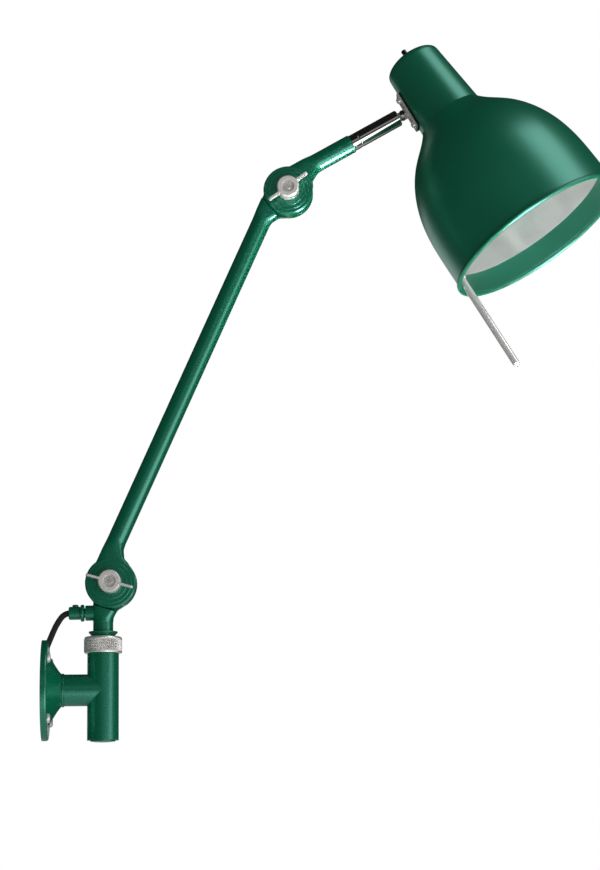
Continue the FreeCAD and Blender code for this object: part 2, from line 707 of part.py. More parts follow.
def make_post():
    """Casting with the stem in the socket, the collar, the gland boss and the rear ear."""
    collar_foot = D.nut_bottom + D.nut_height + D.free_gap
    collar_top = collar_foot + D.collar_height
    neck_length = D.lower_pivot_height - collar_top
    knuckle = solid(knuckle_shape(D.post_offset, D.post_neck_radius, neck_length))
    knuckle.Placement = POST_KNUCKLE
    middle = vec(D.socket_reach, 0, 0)
    stem = cylinder(D.stem_radius, collar_top - D.stem_bottom,
                    place(middle + vec(0, 0, D.stem_bottom)))
    collar = cone(D.collar_foot_radius, D.collar_radius, D.collar_height * 0.8,
                  place(middle + vec(0, 0, collar_foot)))
    brim = cylinder(D.collar_radius, D.collar_height * 0.2,
                    place(middle + vec(0, 0, collar_foot + D.collar_height * 0.8)))
    boss = cylinder(D.gland_stub_radius, D.gland_stub_reach,
                    toward(X_AXIS * -1, middle + vec(0, 0, D.gland_height)))
    nipple_seat = cylinder(D.nipple_radius + D.running_fit, D.gland_stub_reach * 0.3,
                           toward(X_AXIS, vec(STUB_END, 0, D.gland_height)))
    ear_room = cylinder(D.ear_radius + D.shoulder_gap, D.ear_thickness * 2,
                        toward(Y_AXIS, LOWER_PIVOT + vec(0, LAP - D.ear_thickness * 2, 0)))
    hollow_boss = cut(boss, nipple_seat, ear_room)
    return sub_part(fused(knuckle, stem, collar, brim, hollow_boss), "swivel_post")


def make_gland():
    """Nipple, ring, sleeve and clamp screw that lead the supply cable into the post."""
    seat = D.gland_stub_reach * 0.3
    sleeve_seat = D.sleeve_length * 0.18
    nipple_length = seat + (STUB_END - SLEEVE_START) + sleeve_seat
    nipple_top = vec(STUB_END + seat, 0, D.gland_height)
    nipple = turned([(LEAD_BORE, 0), (D.nipple_radius, 0), (D.nipple_radius, nipple_length),
                     (LEAD_BORE, nipple_length)])
    sub_part(nipple, "gland_nipple", toward(X_AXIS * -1, nipple_top))
    ring_bore = D.nipple_radius + D.running_fit
    ring = turned([
        (ring_bore, 0), (D.gland_ring_radius - 0.5, 0), (D.gland_ring_radius, 0.5),
        (D.gland_ring_radius, D.gland_ring_width - 0.5),
        (D.gland_ring_radius - 0.5, D.gland_ring_width), (ring_bore, D.gland_ring_width)])
    sub_part(ring, "gland_ring", toward(X_AXIS * -1, vec(RING_START, 0, D.gland_height)))
    mouth = D.sleeve_length
    sleeve = turned([
        (ring_bore, 0), (D.sleeve_radius, 0), (D.sleeve_radius, mouth - 0.6),
        (D.sleeve_radius - 0.6, mouth), (LEAD_BORE, mouth), (LEAD_BORE, sleeve_seat),
        (ring_bore, sleeve_seat)])
    sleeve.Placement = toward(X_AXIS * -1, vec(SLEEVE_START, 0, D.gland_height))
    screw_x = SLEEVE_START - D.sleeve_length * 0.42
    screw_hole = cylinder(D.sleeve_screw_radius * 0.6 + D.running_fit, D.sleeve_radius + 1,
                          place(vec(screw_x, 0, D.gland_height)))
    seat_flat = cylinder(D.sleeve_screw_radius + 0.2, D.sleeve_screw_height,
                         place(vec(screw_x, 0, D.gland_height + D.sleeve_radius - 0.4)))
    sub_part(cut(sleeve, screw_hole, seat_flat), "gland_sleeve")
    foot = D.lead_diameter / 2 + 0.1
    screw = turned([
        (0, foot), (D.sleeve_screw_radius * 0.6, foot),
        (D.sleeve_screw_radius * 0.6, D.sleeve_radius - 0.4),
        (D.sleeve_screw_radius, D.sleeve_radius - 0.4),
        (D.sleeve_screw_radius, D.sleeve_radius + D.sleeve_screw_height - 1),
        (D.sleeve_screw_radius - 0.7, D.sleeve_radius + D.sleeve_screw_height - 0.4),
        (0, D.sleeve_radius + D.sleeve_screw_height - 0.4)])
    sub_part(screw, "gland_screw", place(vec(screw_x, 0, D.gland_height)))


def make_lead():
    """Free stretch of the supply lead: straight runs joined by tangent arcs."""
    held_length = 0.2
    inside = SWING.multVec(vec(SLEEVE_END + held_length, 0, D.gland_height))
    floor = vec(D.flange_thickness * 0.7, 0, NOTCH_FLOOR + D.lead_diameter * 0.22)
    points = [inside] + [vec(x, inside.y * share, z) for x, share, z in LEAD_POINTS] + [floor]
    edges = []
    start = points[0]
    length = 0.0
    last_corner = len(points) - 2
    for index in range(1, last_corner + 1):
        before = points[index] - points[index - 1]
        after = points[index + 1] - points[index]
        turn = before.getAngle(after)
        before_share = 0.9 if index == 1 else 0.45
        after_share = 0.9 if index == last_corner else 0.45
        setback = min(before.Length * before_share, after.Length * after_share)
        radius = setback / math.tan(turn / 2)
        print("lead bend %d: radius %.1f mm" % (index, radius))
        ahead = Vector(before).normalize()
        beyond = Vector(after).normalize()
        first = points[index] - ahead * setback
        last = points[index] + beyond * setback
        toward_middle = (beyond - ahead).normalize()
        middle = points[index] + toward_middle * (radius / math.cos(turn / 2) - radius)
        edges.append(Part.LineSegment(start, first).toShape())
        edges.append(Part.Arc(first, middle, last).toShape())
        length += (first - start).Length + radius * turn
        start = last
    edges.append(Part.LineSegment(start, points[-1]).toShape())
    length += (points[-1] - start).Length
    radius = float(D.lead_diameter) / 2
    section = Part.Wire([Part.makeCircle(radius, points[0], points[1] - points[0])])
    tube = Part.Wire(edges).makePipeShell([section], True, False)
    share = tube.Volume / (math.pi * radius ** 2 * length)
    print("lead length %.1f mm, volume over section times length %.4f" % (length, share))
    return sub_part(solid(tube), "supply_lead")


# ---------------------------------------------------------------- arms

SOCKET_START = D.knuckle_length + D.socket_inner_gap


def make_arm_tube(label, base, direction, length):
    """Round arm tube, open at both ends."""
    body = turned([(D.arm_bore_radius, 0), (D.arm_radius, 0), (D.arm_radius, length),
                   (D.arm_bore_radius, length)])
    return sub_part(body, label, toward(direction, base))


def make_long_arm():
    spigot = D.knuckle_length * 0.35
    make_arm_knuckle("long_arm_lower_knuckle", LONG_LOWER_KNUCKLE, spigot)
    make_arm_knuckle("long_arm_upper_knuckle", LONG_UPPER_KNUCKLE, spigot)
    foot = LOWER_PIVOT + LONG_SIDE * float(D.arm_offset) + LONG_DIR * float(D.knuckle_length)
    make_arm_tube("long_arm_tube", foot, LONG_DIR, D.long_arm_length - D.knuckle_length * 2)


def make_short_arm():
    """Short arm: knuckle, tube, and the chromed socket that the head's stem turns in."""
    make_arm_knuckle("short_arm_knuckle", SHORT_KNUCKLE, D.free_gap)
    foot = SHORT_FOOT + SHORT_DIR * float(D.knuckle_length)
    make_arm_tube("short_arm_tube", foot, SHORT_DIR, D.short_arm_reach - D.knuckle_length)
    socket_end = D.short_arm_reach + D.socket_visible
    bore = D.stem_spigot_radius + D.running_fit
    hidden = D.arm_bore_radius - D.running_fit
    body = turned([
        (bore, SOCKET_START), (hidden, SOCKET_START),
        (hidden, D.short_arm_reach), (D.stem_tube_radius, D.short_arm_reach),
        (D.stem_tube_radius, socket_end - 0.4), (D.stem_tube_radius - 0.4, socket_end),
        (bore, socket_end)])
    body.Placement = toward(SHORT_DIR, SHORT_FOOT)
    screw_spot = SHORT_FOOT + SHORT_DIR * float(D.short_arm_reach + D.socket_visible * 0.5)
    hole = cylinder(D.set_screw_radius + D.running_fit, D.stem_tube_radius + 2,
                    toward(SHORT_SIDE * -1, screw_spot))
    sub_part(cut(body, hole), "stem_socket")
    depth = D.stem_tube_radius - bore
    screw = turned([(0, 0), (D.set_screw_radius - 0.3, 0), (D.set_screw_radius, 0.3),
                    (D.set_screw_radius, depth), (0, depth)])
    seat = screw_spot - SHORT_SIDE * float(bore)
    sub_part(screw, "socket_set_screw", toward(SHORT_SIDE * -1, seat))


# ---------------------------------------------------------------- head stem

def make_stem():
    """Chromed stem that turns in the short arm, and the tongue that carries the shade."""
    start = D.short_arm_reach + D.socket_visible + D.free_gap / 3
    end = D.stem_tube_end
    bore = D.tongue_root_radius - 1.2
    spigot_start = SOCKET_START + D.spigot_inner_gap
    tube = turned([
        (bore, spigot_start), (D.stem_spigot_radius, spigot_start),
        (D.stem_spigot_radius, start), (D.stem_tube_radius - 0.4, start),
        (D.stem_tube_radius, start + 0.4), (D.stem_tube_radius, end - 0.5),
        (D.stem_tube_radius - 0.5, end), (bore, end)])
    sub_part(tube, "head_stem", toward(SHORT_DIR, SHORT_FOOT))

    shank_length = 8.0
    shank = cylinder(bore - D.running_fit, shank_length,
                     toward(X_AXIS, vec(end - shank_length, 0, 0)))
    root = cylinder(D.tongue_root_radius, D.tilt_pivot_gap - D.tongue_radius - D.free_gap,
                    toward(X_AXIS, vec(end, 0, 0)))
    blade = box(D.tilt_pivot_gap, D.tongue_thickness, D.tongue_radius * 2,
                place(vec(end + D.tilt_pivot_gap / 2, 0, -D.tongue_radius)))
    nose = cylinder(D.tongue_radius, D.tongue_thickness,
                    toward(Y_AXIS, vec(TILT_REACH, -D.tongue_thickness / 2, 0)))
    hole = cylinder(D.tilt_screw_radius + D.running_fit, D.tongue_thickness + 2,
                    toward(Y_AXIS, vec(TILT_REACH, -D.tongue_thickness / 2 - 1, 0)))
    sub_part(cut(fused(shank, root, blade, nose), hole), "stem_tongue", STEM)


# ---------------------------------------------------------------- shade

def neck_radius(depth):
    """Outside radius of the conical neck at a depth below the cap."""
    share = (float(depth) - float(D.cap_edge_depth)) / float(D.neck_end_depth - D.cap_edge_depth)
    return float(D.cap_edge_radius) + float(D.neck_end_radius - D.cap_edge_radius) * share


def bell_profile(inset, top_depth, bottom_depth):
    """Curve of the bell, moved in from its outside, from the neck's end to the mouth."""
    mouth = (float(D.shade_length - D.rim_bead_radius), float(D.mouth_radius - D.rim_bead_radius))
    bell_length = float(D.shade_length - D.neck_end_depth)
    bell_growth = float(D.mouth_radius - D.neck_end_radius)
    knots = [(float(D.neck_end_depth), float(D.neck_end_radius))]
    for depth_share, radius_share in BELL_CURVE:
        knots.append((float(D.neck_end_depth) + bell_length * depth_share,
                      float(D.neck_end_radius) + bell_growth * radius_share))
    knots.append(mouth)
    curve = Part.BSplineCurve()
    curve.interpolate([vec(radius, 0, depth) for depth, radius in knots])
    if inset:
        curve = Part.OffsetCurve(curve, float(inset), Y_AXIS).toBSpline()
    low = curve.parameter(bell_point(curve, top_depth))
    high = curve.parameter(bell_point(curve, bottom_depth))
    curve.segment(low, high)
    return curve


def bell_point(curve, depth):
    """The point of a bell curve at a depth below the cap."""
    low, high = curve.FirstParameter, curve.LastParameter
    for _ in range(50):
        middle = (low + high) / 2
        if curve.value(middle).z < float(depth):
            low = middle
        else:
            high = middle
    return curve.value((low + high) / 2)


def closed_revolve(edges):
    """Turn a closed outline of edges about Z into a solid."""
    return Part.Face(Part.Wire(Part.__sortEdges__(edges))).revolve(Vector(), Z_AXIS, 360)


def line(start, end):
    return Part.LineSegment(start, end).toShape()


def cap_and_neck(inset):
    """Edges of the domed cap and the conical neck, moved in from the outside."""
    top = vec(0, 0, inset)
    flat = vec(D.cap_flat_radius, 0, inset)
    edge = vec(D.cap_edge_radius - inset, 0, D.cap_edge_depth)
    shoulder = vec(float(D.cap_edge_radius) - float(inset) - 1.4, 0,
                   float(D.cap_edge_depth) * 0.62 + float(inset) * 0.2)
    crown = vec(D.cap_crown_radius, 0, 1.8 + float(inset))
    curve = Part.BSplineCurve()
    curve.interpolate(Points=[flat, crown, shoulder, edge],
                      InitialTangent=X_AXIS, FinalTangent=vec(0.07, 0, 1))
    end = vec(D.neck_end_radius - inset, 0, D.neck_end_depth)
    return top, end, [line(top, flat), curve.toShape(), line(edge, end)]


def make_shade():
    """Spun shade: domed cap, conical neck, bell and a rolled bead round the mouth."""
    wall = D.shade_wall
    mouth_depth = D.shade_length - D.rim_bead_radius
    outer_top, outer_end, outer_cap = cap_and_neck(0)
    inner_top, inner_end, inner_cap = cap_and_neck(wall)
    outer_bell = bell_profile(0, D.neck_end_depth, mouth_depth)
    inner_bell = bell_profile(wall, D.neck_end_depth + wall, mouth_depth)
    edges = outer_cap + [outer_bell.toShape()] + inner_cap
    edges.append(line(inner_end, inner_bell.value(inner_bell.FirstParameter)))
    edges.append(inner_bell.toShape())
    edges.append(line(outer_bell.value(outer_bell.LastParameter),
                      inner_bell.value(inner_bell.LastParameter)))
    edges.append(line(outer_top, inner_top))
    skin = closed_revolve(edges)
    bead = Part.makeTorus(float(D.mouth_radius - D.rim_bead_radius), float(D.rim_bead_radius),
                          vec(0, 0, mouth_depth))
    shell = skin.fuse(bead)
    through = float(D.shade_wall) * 5
    switch_hole = Part.makeCylinder(float(D.switch_bush_radius + D.running_fit), through * 2,
                                    vec(0, 0, -through))
    shell = shell.cut(switch_hole)
    seat = SHADE.inverse().multiply(plate_seat())
    for side in (-0.5, 0.5):
        hole = Part.makeCylinder(float(D.plate_screw_radius + D.running_fit), through * 2,
                                 vec(D.plate_screw_spacing * side, 0, -through))
        hole.Placement = seat.multiply(hole.Placement)
        shell = shell.cut(hole)
    return sub_part(solid(shell), "shade", SHADE)


def make_reflector():
    """Spun aluminium reflector inside the bell, ending above the painted band."""
    inset = D.shade_wall + D.reflector_gap
    end_depth = D.shade_length - D.green_band
    outer = bell_profile(inset, D.reflector_top_depth, end_depth)
    inner = bell_profile(inset + D.reflector_wall, D.reflector_top_depth + D.reflector_wall, end_depth)
    top_out = vec(D.reflector_top_radius, 0, D.reflector_top_depth)
    top_in = vec(D.reflector_top_radius, 0, D.reflector_top_depth + D.reflector_wall)
    lip_depth = 1.2
    wall_side = bell_profile(D.shade_wall + D.running_fit, end_depth, end_depth + lip_depth)
    inner_end = inner.value(inner.LastParameter)
    lip_in = vec(inner_end.x, 0, float(end_depth) + lip_depth)
    edges = [
        outer.toShape(), inner.toShape(), wall_side.toShape(),
        line(top_out, outer.value(outer.FirstParameter)),
        line(top_in, inner.value(inner.FirstParameter)), line(top_out, top_in),
        line(outer.value(outer.LastParameter), wall_side.value(wall_side.FirstParameter)),
        line(wall_side.value(wall_side.LastParameter), lip_in), line(lip_in, inner_end)]
    return sub_part(solid(closed_revolve(edges)), "reflector", SHADE)


def plate_seat():
    """Frame of the hinge plate: Z out of the neck's wall to the pivot, X down the neck."""
    lean = math.atan2(float(D.neck_end_radius - D.cap_edge_radius),
                      float(D.neck_end_depth - D.cap_edge_depth))
    out = vec(-math.cos(lean), 0, -math.sin(lean))
    down = vec(-math.sin(lean), 0, math.cos(lean))
    return SHADE.multiply(frame(vec(-neck_radius(D.pivot_depth), 0, D.pivot_depth), down, out))


def make_hinge_plate():
    """Plate on the shade's neck with two cheeks, its gasket, screws and nuts."""
    gasket = D.gasket_thickness
    seat = plate_seat()
    pivot = seat.inverse().multVec(TILT_PIVOT)

    plate = box(D.plate_length, D.plate_width, D.plate_thickness, place(vec(0, 0, gasket)))
    half_tongue = D.tongue_thickness / 2 + D.running_fit
    items = [plate]
    for side in (-1, 1):
        inner_face = vec(0, side * float(half_tongue), 0)
        web = box(D.cheek_radius * 2, D.cheek_thickness, pivot.z - gasket - 0.2,
                  place(vec(pivot.x, side * float(half_tongue + D.cheek_thickness / 2),
                            gasket + 0.2)))
        boss = cylinder(D.cheek_radius, D.cheek_thickness,
                        toward(Y_AXIS * side, vec(pivot.x, 0, pivot.z) + inner_face))
        items += [web, boss]
    across = float(D.plate_width) * 2
    pin_hole = cylinder(D.tilt_screw_radius + D.running_fit, across,
                        toward(Y_AXIS, vec(pivot.x, -across / 2, pivot.z)))
    cuts = [pin_hole]
    screw_x = [-float(D.plate_screw_spacing) / 2, float(D.plate_screw_spacing) / 2]
    for x in screw_x:
        cuts.append(cylinder(D.plate_screw_radius + D.running_fit, 8.0, place(vec(x, 0, -1))))
    tongue_room = box(D.tongue_radius * 2 + 2.4, D.tongue_thickness + D.running_fit * 2, 9.0,
                      place(vec(pivot.x, 0, gasket + D.plate_thickness)))
    sub_part(cut(fused(*items), *(cuts + [tongue_room])), "hinge_plate", seat)

    # The gasket fills the room between the flat plate and the round neck.
    wrap = float(D.plate_width / 2)
    slab = box(D.plate_length, D.plate_width, gasket + wrap, place(vec(0, 0, -wrap)))
    cone_length = float(D.pivot_depth) * 2
    clear = float(D.running_fit) * 0.4
    outer_cone = cone(neck_radius(0) + clear, neck_radius(cone_length) + clear, cone_length)
    outer_cone.Placement = seat.inverse().multiply(SHADE)
    gasket_holes = [cylinder(D.plate_screw_radius + D.running_fit, gasket + wrap * 2,
                             place(vec(x, 0, -wrap))) for x in screw_x]
    sub_part(cut(slab, outer_cone, *gasket_holes), "hinge_gasket", seat)

    head_low = gasket + D.plate_thickness
    shank = -float(D.shade_wall) - 4.2
    screws = []
    nuts = []
    for x in screw_x:
        screw = turned([
            (0, shank), (D.plate_screw_radius, shank), (D.plate_screw_radius, head_low),
            (D.plate_screw_head_radius, head_low),
            (D.plate_screw_head_radius, head_low + D.plate_screw_head_height * 0.55),
            (D.plate_screw_head_radius * 0.72, head_low + D.plate_screw_head_height),
            (0, head_low + D.plate_screw_head_height)])
        screw.Placement = place(vec(x, 0, 0))
        screws.append(screw)
        nut = turned([
            (D.plate_screw_radius + D.running_fit, 0), (D.plate_screw_head_radius + 0.3, 0),
            (D.plate_screw_head_radius + 0.3, 1.6), (D.plate_screw_radius + D.running_fit, 1.6)])
        nut.Placement = place(vec(x, 0, -float(D.shade_wall) - 2.4))
        nuts.append(nut)
    for label, group in (("hinge_plate_screws", screws), ("hinge_plate_nuts", nuts)):
        compound = DOC.addObject("Part::Compound", label)
        compound.Links = group
        sub_part(compound, label, seat)

    # Pivot screw and its nut, across the cheeks.
    reach = half_tongue + D.cheek_thickness
    screw = turned([
        (0, -reach - 2.2), (D.tilt_screw_radius, -reach - 2.2), (D.tilt_screw_radius, reach),
        (D.tilt_head_radius, reach), (D.tilt_head_radius, reach + D.tilt_head_height * 0.6),
        (D.tilt_head_radius * 0.75, reach + D.tilt_head_height), (0, reach + D.tilt_head_height)])
    facing = frame(TILT_PIVOT, SHADE_OUT, SHADE_AXIS).multiply(toward(Y_AXIS))
    sub_part(screw, "tilt_screw", facing)
    nut = turned([
        (D.tilt_screw_radius + D.running_fit, -reach - 2.0), (D.tilt_head_radius, -reach - 2.0),
        (D.tilt_head_radius, -reach), (D.tilt_screw_radius + D.running_fit, -reach)])
    sub_part(nut, "tilt_nut", facing)


def make_lampholder():
    """Carrier plate in the neck, pipe nipple, lampholder shell and its contact block."""
    depth = D.holder_plate_depth
    inner = neck_radius(depth) - float(D.shade_wall)
    slope = float(D.neck_end_radius - D.cap_edge_radius) / float(D.neck_end_depth - D.cap_edge_depth)
    thick = D.holder_plate_thickness
    snug = inner - 0.02
    nipple_bore = D.nipple_pipe_radius + D.running_fit
    plate = turned([(nipple_bore, depth), (snug, depth), (snug + float(thick) * slope, depth + thick),
                    (nipple_bore, depth + thick)])
    sub_part(plate, "lampholder_plate", SHADE)
    pipe_top = depth - 3
    pipe = turned([
        (D.nipple_pipe_radius - 1, pipe_top), (D.nipple_pipe_radius, pipe_top),
        (D.nipple_pipe_radius, pipe_top + D.nipple_pipe_length),
        (D.nipple_pipe_radius - 1, pipe_top + D.nipple_pipe_length)])
    sub_part(pipe, "lampholder_nipple", SHADE)
    top = depth + thick
    bottom = top + D.holder_length
    bore_top = bottom - D.holder_bore_depth
    block_radius = D.holder_bore_radius * 0.8
    block_top = bore_top - D.contact_thickness
    shell = turned([
        (nipple_bore, top), (D.holder_radius * 0.7, top), (D.holder_radius, top + 8),
        (D.holder_radius, bottom - 1), (D.holder_radius - 1, bottom), (D.holder_bore_radius, bottom),
        (D.holder_bore_radius, bore_top), (block_radius, bore_top), (block_radius, block_top),
        (nipple_bore, block_top)])
    sub_part(shell, "lampholder_shell", SHADE)
    block = turned([(0, block_top), (block_radius, block_top), (block_radius, bore_top - 0.6),
                    (4.0, bore_top - 0.6), (3.4, bore_top), (0, bore_top)])
    sub_part(block, "lampholder_contact", SHADE)


def make_switch():
    """Push switch through the centre of the cap: body, ring nut and button."""
    bore = D.button_radius + D.running_fit
    nut_top = -D.switch_nut_height
    base = D.shade_wall
    body = turned([
        (0, base + D.switch_body_length), (D.switch_body_radius, base + D.switch_body_length),
        (D.switch_body_radius, base), (D.switch_bush_radius, base),
        (D.switch_bush_radius, nut_top - 0.3), (bore, nut_top - 0.3),
        (bore, base + 2), (0, base + 2)])
    sub_part(body, "switch_body", SHADE)
    hole = D.switch_bush_radius + D.running_fit
    nut = turned([
        (hole, 0), (D.switch_nut_radius, 0), (D.switch_nut_radius, nut_top + 0.4),
        (D.switch_nut_radius - 0.6, nut_top), (hole, nut_top)])
    sub_part(nut, "switch_nut", SHADE)
    tip = nut_top - D.button_height
    button = turned([
        (0, base + 2 - D.button_stroke - D.free_gap),
        (D.button_radius, base + 2 - D.button_stroke - D.free_gap),
        (D.button_radius, tip + 0.5), (D.button_radius - 0.5, tip), (0, tip)])
    sub_part(button, "switch_button", SHADE)


def make_handle():
    """Chromed handle rod just inside the rim, and the clip that holds it to the painted band."""
    lean = math.radians(float(D.rod_lean))
    bearing = math.radians(float(D.rod_bearing))
    rim_depth = D.shade_length - D.rim_bead_radius
    rim_reach = D.mouth_radius - D.rod_rim_gap
    radial = vec(math.cos(bearing), math.sin(bearing), 0)

    def spot(depth):
        reach = float(rim_reach) + (float(depth) - float(rim_depth)) * math.tan(lean)
        return radial * reach + vec(0, 0, depth)

    rod_start = rim_depth - (D.rod_inside - D.rim_bead_radius)
    rod_tip = D.shade_length + D.rod_outside
    direction = (spot(rod_tip) - spot(rod_start)).normalize()
    length = (rod_tip - rod_start) / math.cos(lean)
    rod = turned([
        (0, 0), (D.rod_radius - 0.5, 0), (D.rod_radius, 0.5), (D.rod_radius, length - 2.6),
        (D.rod_radius * 0.62, length - 0.4), (D.rod_radius * 0.5, length), (0, length)])
    sub_part(rod, "handle_rod", SHADE.multiply(toward(direction, spot(rod_start))))

    clip_start = float(rod_start + D.clip_inset)
    clip_length = float(D.clip_length)
    clip_end = clip_start + clip_length
    sleeve = Part.makeCylinder(float(D.rod_radius + D.clip_wall), clip_length,
                               spot(clip_start), direction)
    bore = Part.makeCylinder(float(D.rod_radius + D.running_fit), clip_length * 3,
                             spot(clip_start) - direction * clip_length, direction)
    wall = bell_profile(D.shade_wall + D.running_fit, clip_start - 1, clip_end + 1)
    wall_top, wall_foot = wall.value(wall.FirstParameter), wall.value(wall.LastParameter)
    inside = closed_revolve([
        wall.toShape(), line(wall_top, vec(0, 0, wall_top.z)),
        line(vec(0, 0, wall_top.z), vec(0, 0, wall_foot.z)),
        line(vec(0, 0, wall_foot.z), wall_foot)])
    foot_length = clip_length - 2
    foot_width = float(D.clip_foot_width)
    foot = Part.makeBox(float(D.mouth_radius), foot_width, foot_length, vec(0, -foot_width / 2, 0))
    foot.rotate(Vector(), Z_AXIS, float(D.rod_bearing))
    foot.translate(vec(0, 0, clip_start + 1))
    middle = spot((clip_start + clip_end) / 2)
    core = Part.makeCylinder(math.hypot(middle.x, middle.y), float(D.shade_length), Vector())
    clip = sleeve.common(inside).fuse(foot.cut(core).common(inside)).cut(bore)
    sub_part(solid(clip.removeSplitter()), "handle_clip", SHADE)


# ---------------------------------------------------------------- build and write

def check_document():
    for item in DOC.Objects:
        if "Invalid" in item.State or "Error" in item.State:
            raise ValueError("object %s (%s) failed: %s" % (item.Name, item.Label, item.State))
    for item in SUB_PARTS:
        shape = item.Shape
        if shape.isNull() or not shape.isValid() or not shape.Solids:
            raise ValueError("sub-part %s has no valid solid" % item.Label)


make_flange()
make_screws()
make_tee()
make_plug()
make_bush()
make_collet()
make_clamp_nut()
make_post()
make_gland()
make_lead()
LOWER_AXIS = place(LOWER_PIVOT)
UPPER_AXIS = place(UPPER_PIVOT)
make_bolt("lower_bolt", LOWER_AXIS)
make_washer("lower_washer", LOWER_AXIS)
make_wing_nut("lower_wing_nut", LOWER_PIVOT, D.lower_wing_angle)
make_long_arm()
make_bolt("upper_bolt", UPPER_AXIS)
make_washer("upper_washer", UPPER_AXIS)
make_wing_nut("upper_wing_nut", UPPER_PIVOT, D.upper_wing_angle)
make_short_arm()
make_stem()
make_shade()
make_reflector()
make_hinge_plate()
make_lampholder()
make_switch()
make_handle()

# The bracket and its clamp nut stay where they are, and the lead is drawn already swung.
NOT_SWUNG = {"wall_flange", "wall_screws", "tee_bracket", "socket_plug", "socket_bush",
             "clamp_collet", "clamp_nut", "supply_lead"}
for item in SUB_PARTS:
    if item.Label not in NOT_SWUNG:
        item.Placement = SWING.multiply(item.Placement)
DOC.recompute()
check_document()

os.makedirs("parts", exist_ok=True)
for item in SUB_PARTS:
    item.Shape.exportStep("parts/%s.step" % item.Label)
print("%d sub-parts written" % len(SUB_PARTS))
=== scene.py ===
"""Looks of the articulating wall lamp: camera, supply lead, knurled nut, finishes and light.

All lengths are in metres, in the frame of the CAD model: +X points out from the wall, +Z up,
and the origin is the centre of the flange's back face.
"""

import json
import math

import bmesh
import bpy
from mathutils import Matrix, Vector


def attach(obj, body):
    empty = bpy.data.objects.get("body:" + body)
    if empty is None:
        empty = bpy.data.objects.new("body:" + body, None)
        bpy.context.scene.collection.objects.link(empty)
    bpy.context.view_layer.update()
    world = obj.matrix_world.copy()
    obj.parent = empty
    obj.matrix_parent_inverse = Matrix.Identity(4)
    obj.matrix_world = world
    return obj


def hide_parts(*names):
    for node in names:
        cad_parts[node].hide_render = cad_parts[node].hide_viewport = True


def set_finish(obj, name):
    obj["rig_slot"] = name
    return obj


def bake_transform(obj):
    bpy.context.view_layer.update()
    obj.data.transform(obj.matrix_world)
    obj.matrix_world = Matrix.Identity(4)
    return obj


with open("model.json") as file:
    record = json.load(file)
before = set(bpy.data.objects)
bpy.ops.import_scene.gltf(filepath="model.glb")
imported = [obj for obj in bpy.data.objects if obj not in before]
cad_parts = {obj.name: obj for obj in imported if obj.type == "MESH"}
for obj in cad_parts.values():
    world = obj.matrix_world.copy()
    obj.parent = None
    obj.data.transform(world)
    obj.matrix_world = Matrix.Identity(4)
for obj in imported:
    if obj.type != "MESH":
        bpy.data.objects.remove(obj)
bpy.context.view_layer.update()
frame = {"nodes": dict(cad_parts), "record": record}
MM = 0.001


# ---------------------------------------------------------------- camera

CAMERA_PLACE = Vector((0.09474, -1.91789, -0.15697))
CAMERA_YAW = math.radians(3.58)
CAMERA_PITCH = math.radians(10.90)
CAMERA_ROLL = math.radians(-0.77)
SENSOR_WIDTH = 36.0
LENS = 139.31
CLIP_END = 20.0


def make_camera():
    """The photograph's view: turned by yaw, pitch and roll from a look along +Y."""
    forward = Vector((math.sin(CAMERA_YAW) * math.cos(CAMERA_PITCH),
                      math.cos(CAMERA_YAW) * math.cos(CAMERA_PITCH), math.sin(CAMERA_PITCH)))
    level = Vector((math.cos(CAMERA_YAW), -math.sin(CAMERA_YAW), 0.0))
    upright = level.cross(forward)
    right = level * math.cos(CAMERA_ROLL) + upright * math.sin(CAMERA_ROLL)
    above = upright * math.cos(CAMERA_ROLL) - level * math.sin(CAMERA_ROLL)
    data = bpy.data.cameras.new("camera")
    data.sensor_fit = "HORIZONTAL"
    data.sensor_width = SENSOR_WIDTH
    data.lens = LENS
    data.clip_end = CLIP_END
    camera = bpy.data.objects.new("camera", data)
    bpy.context.scene.collection.objects.link(camera)
    turn = Matrix((right, above, -forward)).transposed().to_4x4()
    camera.matrix_world = Matrix.Translation(CAMERA_PLACE) @ turn
    bpy.context.scene.camera = camera


# ---------------------------------------------------------------- supply lead

LEAD_DIAMETER = 5.0 * MM
# Centre line from the gland's sleeve to the notch in the flange.
LEAD_ROUTE = [
    (0.021818, 0.001957, 0.0636), (0.0174, 0.002250, 0.0633), (0.0114, 0.001565, 0.0542),
    (0.0080, 0.000783, 0.0464), (0.00378, 0.0, 0.0357),
]
LEAD_SIDES = 64
LEAD_STEPS = 24
LEAD_ORDER = 3
BRAID_YARNS = 10
BRAID_PITCH = 9.0 * MM
BRAID_RELIEF = 0.10 * MM


def spline_points(route):
    """Points along the smooth curve that has the route as its control points."""
    curve = bpy.data.curves.new("lead_route", "CURVE")
    curve.dimensions = "3D"
    curve.resolution_u = LEAD_STEPS
    spline = curve.splines.new("NURBS")
    spline.points.add(len(route) - 1)
    for point, place in zip(spline.points, route):
        point.co = (*place, 1.0)
    spline.order_u = LEAD_ORDER
    spline.use_endpoint_u = True
    holder = bpy.data.objects.new("lead_route", curve)
    bpy.context.scene.collection.objects.link(holder)
    bpy.context.view_layer.update()
    mesh = bpy.data.meshes.new_from_object(holder)
    points = [vertex.co.copy() for vertex in mesh.vertices]
    bpy.data.objects.remove(holder)
    bpy.data.meshes.remove(mesh)
    return points


def braid_height(turn, travel):
    """Relief of two sets of yarns that wind round the lead in opposite senses."""
    wind = 2 * math.pi * travel / BRAID_PITCH
    first = math.cos(BRAID_YARNS * (turn + wind / 2))
    second = math.cos(BRAID_YARNS * (turn - wind / 2))
    return max(first, second) * BRAID_RELIEF


